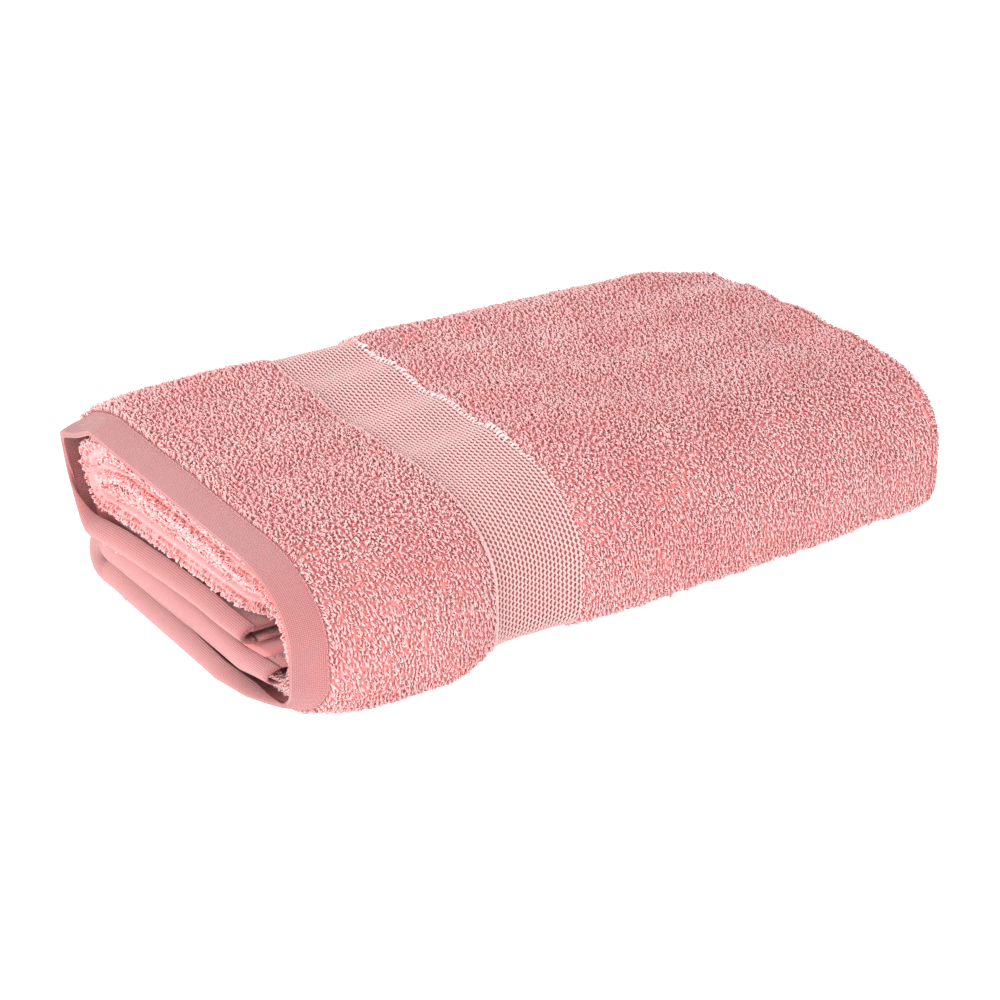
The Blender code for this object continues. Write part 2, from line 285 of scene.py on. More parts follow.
class Fold:
    """Turns a place on the flat cloth, given as two stations and a lift, into a place in space."""

    def __init__(self, fold, weave):
        self.fold = fold
        self.weave = weave
        self.length, self.width = (BOX_HIGH - BOX_LOW)[:2]
        layers = 3 + fold.pile_fill
        self.top_bend = layers * fold.top_pitch + fold.inner_bend
        self.bottom_bend = layers * fold.bottom_pitch + fold.inner_bend
        self.height = 2 * (self.top_bend + self.bottom_bend) + fold.half_gap
        self.near_bend = self.height / 2
        self.lower_half = 2 * self.bottom_bend
        self.bend_centre = self.length - (OUTER_TURN + fold.pile_fill / 2) * fold.bend_pitch
        self.outer_face = OUTER_LAYER - fold.pile_fill / 2

    def pitch(self, across):
        share = np.clip(across - NEAR_SIDE, 0, 1)
        return self.fold.top_pitch + (self.fold.bottom_pitch - self.fold.top_pitch) * share

    def layout(self, across):
        """The columns of END_LAYOUT at the given width stations."""
        stations, *columns = np.array(END_LAYOUT).T
        units = [MILLIMETRE] * 4 + [1, 1]
        return [np.interp(across, stations, part * size) for part, size in zip(columns, units)]

    def hem_path(self, distance, front, depth):
        """x and extra depth of the outer layer at a distance from the end hem's edge."""
        hem = self.weave.end_hem
        curl = np.clip(depth / FULL_CURL, 0, 1)
        turn = np.clip(distance / hem, 0, 1) * np.pi
        bulge = np.sqrt(np.maximum(2 * (hem / np.pi) ** 2 - depth ** 2 / 4, FLATTEST_CURL ** 2))
        curled = np.where(distance < hem, bulge * (1 - np.sin(turn)), bulge + distance - hem)
        fade = np.where(distance < hem, 1, 1 - smooth(distance, hem, CURL_FADE))
        x = distance + curl * (curled - distance) * fade
        x = x + front * (1 - smooth(distance, 0, FRONT_FADE))
        droop = HEM_DROOP * (1 - np.sin(turn / 2)) * (1 - curl)
        return x, depth * (1 + np.cos(turn)) / 2 + droop

    def length_point(self, along, across, lift):
        """x, the layer counted from the outside, and any extra depth."""
        span = np.clip(np.floor(along), 0, SPANS - 1)
        share = along - span
        turn = np.pi * share
        centre = self.bend_centre
        pitch = self.fold.bend_pitch
        edge, depth, front, inner_edge, swell_out, swell_in = self.layout(across)
        roll = front + (INNER_TURN + self.fold.pile_fill / 2) * pitch
        step = 1e-4
        here = self.hem_path(centre * share, edge, depth)
        there = self.hem_path(centre * share + step, edge, depth)
        run, fall = there[0] - here[0], there[1] - here[1]
        size = np.hypot(run, fall)
        thick = lift * self.pitch(across)
        outer_x = here[0] + thick * fall / size
        outer_depth = here[1] + thick * (1 - run / size)
        outer = OUTER_TURN + lift
        rolled = INNER_TURN + lift
        inner = INNER_TURN - lift
        x = np.choose(span.astype(int), [
            outer_x,
            centre + outer * pitch * np.sin(turn),
            centre + (roll - centre) * share,
            roll - rolled * pitch * np.sin(turn),
            roll + (centre - roll) * share,
            centre + inner * pitch * np.sin(turn),
            centre + (inner_edge - centre) * share,
        ])
        layer = np.choose(span.astype(int), [
            OUTER_LAYER - lift,
            2 - outer * np.cos(turn),
            INNER_LAYER + lift,
            3 + rolled * np.cos(turn),
            THIRD_LAYER - lift,
            2 + inner * np.cos(turn),
            SECOND_LAYER + lift,
        ])
        inside = smooth(layer, THIRD_LAYER, INNER_LAYER)
        crevice = ROLL_CREVICE * hump(share, 0.5, 0.15) * (1 - smooth(across, 3, 4))
        x = x + np.where(span == 3, crevice, 0)
        near_front = (1 - smooth(x, front, front + SWELL_REACH)) * (span >= 2) * (span <= 4)
        layer = layer + near_front * (swell_in * inside - swell_out * (1 - inside))
        return x, layer, np.where(span == 0, outer_depth, 0)

    def press(self, x, across):
        """How far the stack's outside is pushed in, in metres; it bulges where this is negative."""
        near, top, far = (zone(across, *limits) for limits in (NEAR_ZONE, TOP_ZONE, FAR_ZONE))
        on_top, on_near, on_far = BAND_DEPTHS
        band = plateau(x, *BAND_PLACE) * (on_top * top + on_near * near + on_far * far)
        band = band + BAND_EDGE_DEPTH * plateau(x, *BAND_EDGE_PLACE) * hump(across, 2.45, 0.25)
        on_top, on_near = PUFF_HEIGHTS
        puff = on_near * near * smooth(across, 3.2, 3.75) + on_top * top
        puff = puff * plateau(x, *PUFF_PLACE)
        shoulder = SHOULDER_HEIGHT * hump(x, *SHOULDER_PLACE) * hump(across, 2.85, 0.32)
        valley_x = self.length - 0.036 - 0.008 * hump(across, 3.3, 0.4)
        valley = VALLEY_DEPTH * hump(x, valley_x, 0.010) * zone(across, *VALLEY_ZONE)
        drift = 0.6 * np.sin(x / 0.061 + 0.7) + 0.4 * np.sin(x / 0.027 + 2.1)
        waves = WAVE_DEPTH * np.sin(across * 19 + drift * 1.6) * top * smooth(x, 0.02, 0.05)
        creases = CREASE_DEPTH * np.sin(x / 0.0021 + 2.4 * np.sin(across * 3.1 + x / 0.05))
        creases = creases * zone(across, *CREASE_ZONE) * plateau(x, *CREASE_PLACE)
        lumps = np.sin(x / 0.013 + 1.3 * across) * np.cos(across * 7.3 + x / 0.021)
        lumps = LUMP_DEPTH * lumps * (top + near)
        return band - puff - shoulder + valley + waves + creases + lumps

    def point(self, along, across, lift):
        """Places as an array of x, y and z; the three arguments broadcast together."""
        stations = (np.asarray(values, dtype=float) for values in (along, across, lift))
        along, across, lift = np.broadcast_arrays(*stations)
        x, layer, extra = self.length_point(along, across, lift)
        pitch = self.pitch(across)
        depth = (layer - self.outer_face) * pitch + extra
        stack = (3 + self.fold.pile_fill) * pitch
        depth = depth + self.press(x, across) * np.clip(1 - depth / stack, 0, 1.2)
        span = np.clip(np.floor(across), 0, SPANS - 1)
        share = across - span
        inset, width, gap = self.fold.selvedge_inset, self.width, self.fold.half_gap
        at_end = 1 - smooth(x, *CORNER_FADE)
        upper, middle, lower = CORNER_REACH
        upper_inset = inset + at_end * (upper - inset + (middle - upper) * smooth(layer, 1.6, 2.4))
        lower_inset = inset + at_end * (lower - inset)
        cornered = 1 - smooth(x, 0, HEM_END_REACH)
        outline = [full + (end - full) * cornered for full, end in zip(FAR_TOP_BEND, HEM_END_BEND)]
        top_out, top_rise = bend_point(self.top_bend - depth, share, outline)
        top_rise = top_rise - HEM_END_LIFT * cornered * top_out ** 2 / self.top_bend
        near_out, near_rise = bend_point(self.near_bend - depth, share, NEAR_SIDE_BEND)
        low_out, low_rise = bend_point(self.bottom_bend - depth, share, FAR_BOTTOM_BEND)
        top_centre, low_centre = width - self.top_bend, width - self.bottom_bend
        y = np.choose(span.astype(int), [
            upper_inset + (top_centre - upper_inset) * share,
            top_centre + top_out,
            top_centre + (self.near_bend - top_centre) * share,
            self.near_bend - near_out,
            self.near_bend + (low_centre - self.near_bend) * share,
            low_centre + low_out,
            low_centre + (lower_inset - low_centre) * share,
        ])
        z = np.choose(span.astype(int), [
            self.lower_half + gap + depth,
            self.height - self.top_bend - top_rise,
            self.height - depth,
            self.near_bend + near_rise,
            depth,
            self.bottom_bend - low_rise,
            self.lower_half - depth,
        ])
        near_share = 1 - self.fold.near_slump * (1 - np.clip(y / width, 0, 1.05))
        end_share = 1 + self.fold.end_rise * (x / self.length - 0.5)
        return self.settle(x, y, z * near_share * end_share)

    def settle(self, x, y, z):
        """The stack's own slump: fuller in the middle, narrower at the folded end's near corner."""
        along = x / self.length - 0.5
        over = y / self.width
        aside = over - 0.5
        tilt = FAR_RISE * aside - END_CROWN * along ** 2 - STACK_TWIST * along * aside
        z = z * (STACK_HEIGHT + tilt)
        z = z * (1 - FAR_CORNER_DROP * smooth(along, 0.34, 0.5) * smooth(over, 0.55, 1))
        everywhere, folded_end, both_ends = NARROWING
        narrowing = everywhere + folded_end * along + both_ends * (along ** 2 - 0.08)
        y = y - self.width * (1 - over) * narrowing + FAR_GROWTH * self.width * over
        middle, far_side, both_sides = END_GROWTH
        reach = middle + far_side * aside + both_sides * aside ** 2
        x = x + self.length * np.clip(x / self.length, 0, 1.1) ** 2 * reach
        return np.stack([x + BOX_LOW[0], y + BOX_LOW[1], np.maximum(z, 0) + BOX_LOW[2]], axis=-1)

    def outer_station(self, distance):
        """Length station at a distance from the outer end hem's edge."""
        return np.asarray(distance) / self.bend_centre

    def inner_station(self, distance):
        """Length station at a distance from the inner end hem's edge."""
        return SPANS - np.asarray(distance) / (self.bend_centre - self.fold.inner_hem_setback)

    def side_station(self, distance, lower):
        """Width station at a distance from a side hem's edge."""
        if lower:
            return SPANS - distance / (self.width - self.bottom_bend - self.fold.selvedge_inset)
        return distance / (self.width - self.top_bend - self.fold.selvedge_inset)

    def even_stations(self, first, last, spacing, along=0.5, lift=0.3):
        """Width stations from first to last that lie evenly spaced along the folded cloth."""
        fine = np.linspace(first, last, 4000)
        places = self.point(along, fine, lift)
        lengths = distances_along(places)
        count = max(int(round(lengths[-1] / spacing)), 1)
        return np.interp(np.linspace(0, lengths[-1], count + 1), lengths, fine)

    def between_hems(self, spacing):
        """Evenly spaced width stations from one side hem to the other."""
        first, last = (self.side_station(self.weave.side_hem, lower) for lower in (False, True))
        return self.even_stations(first, last, spacing)

    def frames(self, along, across, lift):
        """Places on the cloth and the directions along it, across it and outward."""
        step = 1e-3
        here = self.point(along, across, lift)
        out = unit(self.point(along, across, lift + 0.05) - here, LEAST_STEP)
        wide = self.point(along, np.minimum(across + step, LAST_STATION), lift)
        wide = wide - self.point(along, np.maximum(across - step, 0), lift)
        wide = unit(square_to(wide, out), LEAST_STEP)
        return here, np.cross(wide, out), wide, out


def link(name, mesh, material, node_names=(), worn_by=None):
    """Put a finished mesh in the scene and on the towel's one body, which takes the place of the
    cloth it is first parented to, if it has one.
    """
    piece = bpy.data.objects.new(name, mesh)
    bpy.context.scene.collection.objects.link(piece)
    if worn_by:
        piece.parent = bpy.data.objects[worn_by]
    mesh.materials.append(material)
    mesh.shade_smooth()
    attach(piece, BODY)
    if node_names:
        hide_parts(*node_names)
    return piece


def set_points(mesh, points):
    mesh.vertices.foreach_set("co", np.asarray(points, dtype=np.float32).ravel())
    mesh.update()


def set_mask(mesh, name, values):
    layer = mesh.attributes.new(name, "FLOAT", "POINT")
    layer.data.foreach_set("value", np.asarray(values, dtype=np.float32).ravel())


def cloth_zone(name, fold, along, across, fill):
    """One woven zone: a flat grid extruded to a slab and laid along the folds."""
    columns, rows = len(along) - 1, len(across) - 1
    grid = bmesh.new()
    bmesh.ops.create_grid(grid, x_segments=columns, y_segments=rows, size=0.5)
    faces = bmesh.ops.extrude_face_region(grid, geom=list(grid.faces))["geom"]
    raised = [item for item in faces if isinstance(item, bmesh.types.BMVert)]
    bmesh.ops.translate(grid, vec=(0, 0, 1), verts=raised)
    bmesh.ops.recalc_face_normals(grid, faces=list(grid.faces))
    mesh = bpy.data.meshes.new(name)
    grid.to_mesh(mesh)
    grid.free()
    flat = np.empty(len(mesh.vertices) * 3, dtype=np.float32)
    mesh.vertices.foreach_get("co", flat)
    flat = flat.reshape(-1, 3)
    column = np.rint((flat[:, 0] + 0.5) * columns).astype(int)
    row = np.rint((flat[:, 1] + 0.5) * rows).astype(int)
    along, across = np.asarray(along), np.asarray(across)
    share = fill(along[column], across[row])
    lift = np.where(flat[:, 2] > 0.5, share, -share)
    set_points(mesh, fold.point(along[column], across[row], lift))
    reach = distances_along(fold.point(along, 2.5, 0))
    breadth = distances_along(fold.point(0.5, across, 0))
    corner = np.empty(len(mesh.loops), dtype=np.int32)
    mesh.loops.foreach_get("vertex_index", corner)
    spots = np.stack([reach[column], breadth[row]], axis=1)[corner]
    mesh.uv_layers.new(name="cloth").data.foreach_set("uv", spots.astype(np.float32).ravel())
    return mesh


def tube_copies(name, rings, sides, copies):
    """Many capped tubes in one mesh; each starts straight up, one metre from ring to ring."""
    tube = bmesh.new()
    bmesh.ops.create_circle(tube, cap_ends=True, segments=sides, radius=1)
    cap = list(tube.faces)
    for _ in range(rings - 1):
        grown = bmesh.ops.extrude_face_region(tube, geom=cap)["geom"]
        cap = [item for item in grown if isinstance(item, bmesh.types.BMFace)]
        bmesh.ops.translate(tube, vec=(0, 0, 1), verts=list(cap[0].verts))
    levels = ((face, {round(vert.co.z) for vert in face.verts}) for face in tube.faces)
    inner = [face for face, level in levels if len(level) == 1 and 0 < min(level) < rings - 1]
    bmesh.ops.delete(tube, geom=inner, context="FACES_ONLY")
    bmesh.ops.recalc_face_normals(tube, faces=list(tube.faces))
    single = bpy.data.meshes.new(name)
    tube.to_mesh(single)
    tube.free()
    corners = np.array([vert.co[:] for vert in single.vertices])
    maker = bpy.data.objects.new(name, single)
    bpy.context.scene.collection.objects.link(maker)
    array = maker.modifiers.new("copies", "ARRAY")
    array.count = copies
    array.use_relative_offset = False
    array.use_constant_offset = False
    made = maker.evaluated_get(bpy.context.evaluated_depsgraph_get())
    mesh = bpy.data.meshes.new_from_object(made)
    bpy.data.objects.remove(maker, do_unlink=True)
    bpy.data.meshes.remove(single)
    mesh.name = name
    return mesh, corners


def sweep(name, paths, side_vectors, radii, sides):
    """Tubes along many paths of equal point count; radii may differ from point to point."""
    copies, rings = paths.shape[:2]
    mesh, corners = tube_copies(name, rings, sides, copies)
    ring = np.rint(corners[:, 2]).astype(int)
    tangents = unit(np.gradient(paths, axis=1))
    sideways = unit(square_to(side_vectors, tangents))
    upright = np.cross(tangents, sideways)
    radii = np.broadcast_to(radii, (copies, rings))[:, ring, None]
    rim = corners[:, 0, None] * sideways[:, ring] + corners[:, 1, None] * upright[:, ring]
    points = paths[:, ring] + radii * rim
    points[..., 2] = np.maximum(points[..., 2], BOX_LOW[2])
    set_points(mesh, points)
    return mesh, ring


def new_node(tree, kind, **settings):
    node = tree.nodes.new(kind)
    for name, value in settings.items():
        setattr(node, name, value)
    return node


def plug(tree, socket, value):
    """Link another node's output to a socket, or give the socket a plain value."""
    if isinstance(value, bpy.types.NodeSocket):
        tree.links.new(value, socket)
    else:
        socket.default_value = value


def math_node(tree, operation, *values):
    node = new_node(tree, "ShaderNodeMath", operation=operation)
    for socket, value in zip(node.inputs, values):
        plug(tree, socket, value)
    return node.outputs[0]


def mix_colours(tree, factor, first, second):
    node = new_node(tree, "ShaderNodeMix", data_type="RGBA")
    for number, value in ((0, factor), (6, first), (7, second)):
        plug(tree, node.inputs[number], value)
    return node.outputs[2]


def set_inputs(node, values):
    for name, value in values.items():
        node.inputs[name].default_value = value


def new_group(name, **ends):
    """A node group with number sockets, and the node at each of its ends."""
    group = bpy.data.node_groups.new(name, "ShaderNodeTree")
    for side, labels in ends.items():
        for label in labels:
            group.interface.new_socket(label, in_out=side, socket_type="NodeSocketFloat")
    return group, [new_node(group, f"NodeGroup{side.title()}") for side in ends]


def weave_group():
    """Plain weave on the cloth's UV map: height of the threads and mask of the gaps in them."""
    group = bpy.data.node_groups.get("towel_weave")
    if group:
        return group
    spacings, outputs = ("Warp Spacing", "Weft Spacing"), ("Height", "Gaps")
    group, (start, end) = new_group("towel_weave", INPUT=spacings, OUTPUT=outputs)
    place = new_node(group, "ShaderNodeUVMap", uv_map="cloth")
    axes = new_node(group, "ShaderNodeSeparateXYZ")
    group.links.new(place.outputs[0], axes.inputs[0])
    waves = []
    for axis in (0, 1):
        turns = math_node(group, "DIVIDE", axes.outputs[axis], start.outputs[axis])
        waves.append(math_node(group, "MULTIPLY", turns, math.pi))
    warp, weft = (math_node(group, "ABSOLUTE", math_node(group, "SINE", wave)) for wave in waves)
    phase = math_node(group, "MULTIPLY", *(math_node(group, "COSINE", wave) for wave in waves))
    threads = math_node(group, "MULTIPLY", warp, weft)
    height = math_node(group, "ADD", threads, math_node(group, "MULTIPLY", phase, 0.25))
    gaps = math_node(group, "SUBTRACT", 1.0, math_node(group, "POWER", threads, 0.5))
    group.links.new(height, end.inputs["Height"])
    group.links.new(gaps, end.inputs["Gaps"])
    return group


def fade_group():
    """Slow and fine unevenness of dyed cotton, as two masks around a half."""
    group = bpy.data.node_groups.get("towel_unevenness")
    if group:
        return group
    group, (end,) = new_group("towel_unevenness", OUTPUT=("Slow", "Fine"))
    place = new_node(group, "ShaderNodeTexCoord")
    for label, scale, detail in (("Slow", 28, 3), ("Fine", 900, 2)):
        noise = new_node(group, "ShaderNodeTexNoise")
        set_inputs(noise, {"Scale": scale, "Detail": detail})
        group.links.new(place.outputs["Object"], noise.inputs["Vector"])
        group.links.new(noise.outputs["Fac"], end.inputs[label])
    return group


def rgba(colour_value, factor=1.0):
    return (*(min(channel * factor, 1) for channel in colour_value), 1)


def cotton(name, roughness, sheen):
    """A cotton material without its colour, its shader, and its slow and fine unevenness."""
    material = bpy.data.materials.new(name)
    material.use_nodes = True
    tree = material.node_tree
    shader = tree.nodes["Principled BSDF"]
    set_inputs(shader, {
        "Roughness": roughness, "Specular IOR Level": 0.2,
        "Sheen Weight": sheen, "Sheen Roughness": 0.6,
    })
    return material, shader, new_node(tree, "ShaderNodeGroup", node_tree=fade_group()).outputs


def finish_cotton(material, shader, colour_output, height, strength, distance):
    """Give the shader its colour and a bump from the height."""
    tree = material.node_tree
    tree.links.new(colour_output, shader.inputs["Base Color"])
    bump = new_node(tree, "ShaderNodeBump")
    set_inputs(bump, {"Strength": strength, "Distance": distance})
    tree.links.new(height, bump.inputs["Height"])
    tree.links.new(bump.outputs[0], shader.inputs["Normal"])
    return material


def pile_material(name, colours):
    """Terry: painted shade deeper towards the root of each loop, paler on loops that stand out,
    with slow patches.
    """
    material, shader, uneven = cotton(name, 0.9, 0.5)
    tree = material.node_tree
    tip = new_node(tree, "ShaderNodeAttribute", attribute_name="tip")
    shade = new_node(tree, "ShaderNodeAttribute", attribute_name="shade")
    # Painted shade: each loop runs from the root shade colour low down to the tip colour at its
    # crest.
    crest = math_node(tree, "POWER", tip.outputs["Fac"], 2.5)
    yarn = mix_colours(tree, crest, rgba(colours.pile_root_shade), rgba(colours.pile_tip))
    worn = math_node(tree, "MULTIPLY", shade.outputs["Fac"], 0.2)
    yarn = mix_colours(tree, worn, yarn, rgba(colours.pile_tip, 1.08))
    patches = math_node(tree, "SUBTRACT", uneven["Slow"], 0.40)
    patches = math_node(tree, "MULTIPLY", patches, 1.6)
    yarn = mix_colours(tree, patches, yarn, rgba(colours.pile_root_shade, 0.97))
    return finish_cotton(material, shader, yarn, uneven["Fine"], 0.35, 0.0004)


def woven_material(name, base, dark, warp, weft, strength):
    """Flat-woven cotton: painted shade darker between the threads, raised along them."""
    material, shader, uneven = cotton(name, 0.85, 0.35)
    tree = material.node_tree
    weave = new_node(tree, "ShaderNodeGroup", node_tree=weave_group())
    set_inputs(weave, {"Warp Spacing": warp, "Weft Spacing": weft})
    # Painted shade: the dark copy fills the gaps between the threads.
    thread = mix_colours(tree, weave.outputs["Gaps"], base, dark)
    slow = math_node(tree, "MULTIPLY", uneven["Slow"], 0.3)
    thread = mix_colours(tree, slow, thread, base)
    return finish_cotton(material, shader, thread, weave.outputs["Height"], strength, 0.0003)


def yarn_material(name, light, dark, roughness):
    """Loose yarn or thread: fibres, and a fine change of shade along it."""
    material, shader, uneven = cotton(name, roughness, 0.3)
    shades = mix_colours(material.node_tree, uneven["Fine"], dark, light)
    return finish_cotton(material, shader, shades, uneven["Fine"], 0.4, 0.0002)


def once(name, maker, *values):
    """The named material, made on first use."""
    return bpy.data.materials.get(name) or maker(name, *values)


def plan(scene):
    """The fold, the sizes of the weave and the materials, which every builder starts from."""
    colours, weave = scene.towel_colours, scene.towel_weave
    # A light and a dark copy of each colour. In the hem and the band the dark copy is painted shade
    # between the threads; in the net, floats and thread it is a random fibre shade.
    hem, band, net, raised, thread = (
        (rgba(shade, light), rgba(shade, dark)) for shade, light, dark in (
            (colours.hem, 1.2, 0.5), (colours.band, 1.1, 0.7), (colours.net, 1, 0.85),
            (colours.float_yarn, 1, 0.9), (colours.thread, 1, 0.8),
        )
    )
    looks = {
        "pile": once("looped_pile", pile_material, colours),
        "hem": once("woven_hem", woven_material, *hem, 0.00085, 0.00080, 0.9),
        "band": once("woven_band", woven_material, *band, 0.0009, 0.0006, 0.6),
        "net": once("raised_net", yarn_material, *net, 0.85),
        "float": once("raised_float", yarn_material, *raised, 0.75),
        "thread": once("hem_thread", yarn_material, *thread, 0.7),
    }
    return Fold(scene.towel_fold, weave), weave, looks


def pile_height(fold, across):
    """Loops stand up in the loose upper half and lie pressed in the lower one."""
    share = np.clip(across - NEAR_SIDE, 0, 1)
    return fold.weave.loop_height * (1 - 0.42 * share * share)


class TOWEL_OT_pile_cloth(bpy.types.Operator):
    """Lay the ground cloth of the terry field and of the two short pile strips"""

    bl_idname = "towel.pile_cloth"
    bl_label = "Pile Cloth"

    def execute(self, context):
        fold, weave, looks = plan(context.scene)
        across = fold.between_hems(0.0042)

        def ground(along, station):
            return self.ground_half(fold, along, station)

        border_end = weave.border_start + weave.border_width
        outer = fold.outer_station(np.arange(border_end, fold.bend_centre, 0.004))
        inner_stop = float(fold.inner_station(border_end))
        bends = [(1, 2, 15), (3, 4, 11), (5, 6, 8)]
        runs = [(2, 3, 14), (4, 5, 14), (6, inner_stop, 14)]
        inside = [np.linspace(*limits) for limits in bends + runs]
        along = np.unique(np.round(np.concatenate([outer, *inside]), 6))
        width = fold.fold.cloth_width - 2 * weave.side_hem
        field_length = fold.fold.cloth_length - 2 * border_end
        mesh = cloth_zone("main_pile_cloth", fold, along, across, ground)
        piece = link("main_pile_cloth", mesh, looks["pile"], ["main_pile_field"])
        self.finish_cloth(piece, (width, field_length))
        strip = weave.border_start - weave.end_hem
        distances = np.linspace(weave.end_hem, weave.border_start, 24)
        for letter, station in (("a", fold.outer_station), ("b", fold.inner_station)):
            name = f"short_pile_cloth_{letter}"
            mesh = cloth_zone(name, fold, np.sort(station(distances)), across, ground)
            piece = link(name, mesh, looks["pile"], [f"short_pile_{letter}"])
            self.finish_cloth(piece, (width, strip))
        return {"FINISHED"}

    @staticmethod
    def ground_half(fold, along, station):
        """Half the ground cloth's share of a layer: what the pile on both sides leaves."""
        pile = fold.fold.pile_fill / 2
        shown = (along < 2.05) | ((along > 2.9) & (along < 4.1))
        covered = pile - 0.75 * pile_height(fold, station) / fold.pitch(station)
        return np.where(shown, np.maximum(covered, 0.08), pile * 0.86)

    @staticmethod
    def finish_cloth(piece, flat):
        # Tip is zero all over, so the ground cloth shows the painted root shade between the loops.
        for mask in ("tip", "shade"):
            set_mask(piece.data, mask, np.zeros(len(piece.data.vertices)))


def pile_loops(fold, along, across, spacing, seed):
    """Paths, side directions and shades of loops whose feet stand at the given stations."""
    rng = np.random.default_rng(seed)
    count = len(along)
    base_lift = fold.fold.pile_fill / 2 - 0.85 * pile_height(fold, across) / fold.pitch(across)
    root, length_way, width_way, out = fold.frames(along, across, base_lift)
    root = root + spacing * (rng.uniform(-STRAY_ALONG, STRAY_ALONG, (count, 1)) * length_way)
    root = root + spacing * (rng.uniform(-STRAY_ACROSS, STRAY_ACROSS, (count, 1)) * width_way)
    yaw = rng.normal(0, LOOP_TURN, (count, 1))
    forward = np.cos(yaw) * width_way + np.sin(yaw) * length_way
    sideways = np.cross(out, forward)
    height = pile_height(fold, across)[:, None] * rng.uniform(*LOOP_HEIGHTS, (count, 1))
    foot = fold.weave.loop_width * rng.uniform(*LOOP_WIDTHS, (count, 1))
    lean = rng.normal(0, LOOP_LEAN, (count, 2))
    fall = LOOP_HANG * zone(across, *HANGING_ZONE)[:, None] * np.array([0, 0, -1.0])
    fall = square_to(fall, out)
    turns = np.linspace(0, math.pi, 5)
    steps = []
    for turn in turns:
        rise = math.sin(turn) ** 0.8
        shift = lean[:, :1] * sideways + lean[:, 1:] * forward + fall
        shift = height * rise ** 1.4 * shift
        reach = 0.5 * foot * math.cos(turn) * (1 + 0.5 * math.sin(turn))
        steps.append(root + reach * forward + height * rise * out + shift)
    # How far up the loop each ring stands; the pile material paints shade below the crest with it.
    tips = np.sin(turns) ** 0.8
    sides = np.repeat(sideways[:, None], len(turns), axis=1)
    return np.stack(steps, axis=1), sides, tips, rng.random(count)


class TOWEL_OT_pile_loops(bpy.types.Operator):
    """Stand the terry loops on the cloth that shows: outer layer, folded end and inner rolls"""

    bl_idname = "towel.pile_loops"
    bl_label = "Pile Loops"

    most_loops = 7400

    def execute(self, context):
        fold, weave, looks = plan(context.scene)
        spacing = weave.loop_pitch * 1
        border_end = weave.border_start + weave.border_width
        strip = self.run(fold, weave.end_hem - 0.0009, weave.border_start, spacing)
        field = self.run(fold, border_end + 0.0004, fold.bend_centre, spacing)
        folded_end = np.linspace(1, 2, int(0.036 / spacing))[1:]
        inner_roll = np.linspace(2.985, 4.015, int(0.026 / spacing))
        regions = [
            ("short_pile_loops", "short_pile_cloth_a", strip, 0.85, 6.15),
            ("main_pile_loops", "main_pile_cloth", field, 0.85, 6.15),
            ("folded_end_loops", "main_pile_cloth", folded_end, 0.02, 6.98),
            ("inner_roll_loops", "main_pile_cloth", inner_roll, 0.02, 4.4),
        ]
        for number, (name, cloth, along, first, last) in enumerate(regions):
            across = fold.even_stations(first, last, spacing, float(along.mean()), 0.2)
            grid = np.meshgrid(along, across, indexing="ij")
            hidden = (grid[1] > UNDERSIDE[0]) & (grid[1] < UNDERSIDE[1])
            rank = np.arange(grid[1].size).reshape(grid[1].shape) % UNDERSIDE_SHARE
            stations = [axis[~hidden | (rank == 0)] for axis in grid]
            self.build(fold, name, cloth, stations, spacing, looks["pile"], weave.seed + number)
        return {"FINISHED"}

    @staticmethod
    def run(fold, start, stop, spacing):
        return fold.outer_station(np.arange(start, stop, spacing))

    def build(self, fold, name, cloth, stations, spacing, material, seed):
        along, across = stations
        parts = math.ceil(len(along) / self.most_loops)
        for part, chosen in enumerate(np.array_split(np.arange(len(along)), parts)):
            paths, sides, tips, shades = pile_loops(
                fold, along[chosen], across[chosen], spacing, seed * 100 + part
            )
            yarn = fold.weave.loop_yarn * 1
            yarn = yarn * (0.8 + 0.35 * shades)[:, None]
            mesh, ring = sweep(f"{name}_{part + 1}", paths, sides, yarn, 3)
            # The tip mask places the painted root shade low on each loop.
            set_mask(mesh, "tip", np.tile(tips[ring], len(chosen)))
            set_mask(mesh, "shade", np.repeat(shades, len(ring)))
            link(f"{name}_{part + 1}", mesh, material, worn_by=cloth)


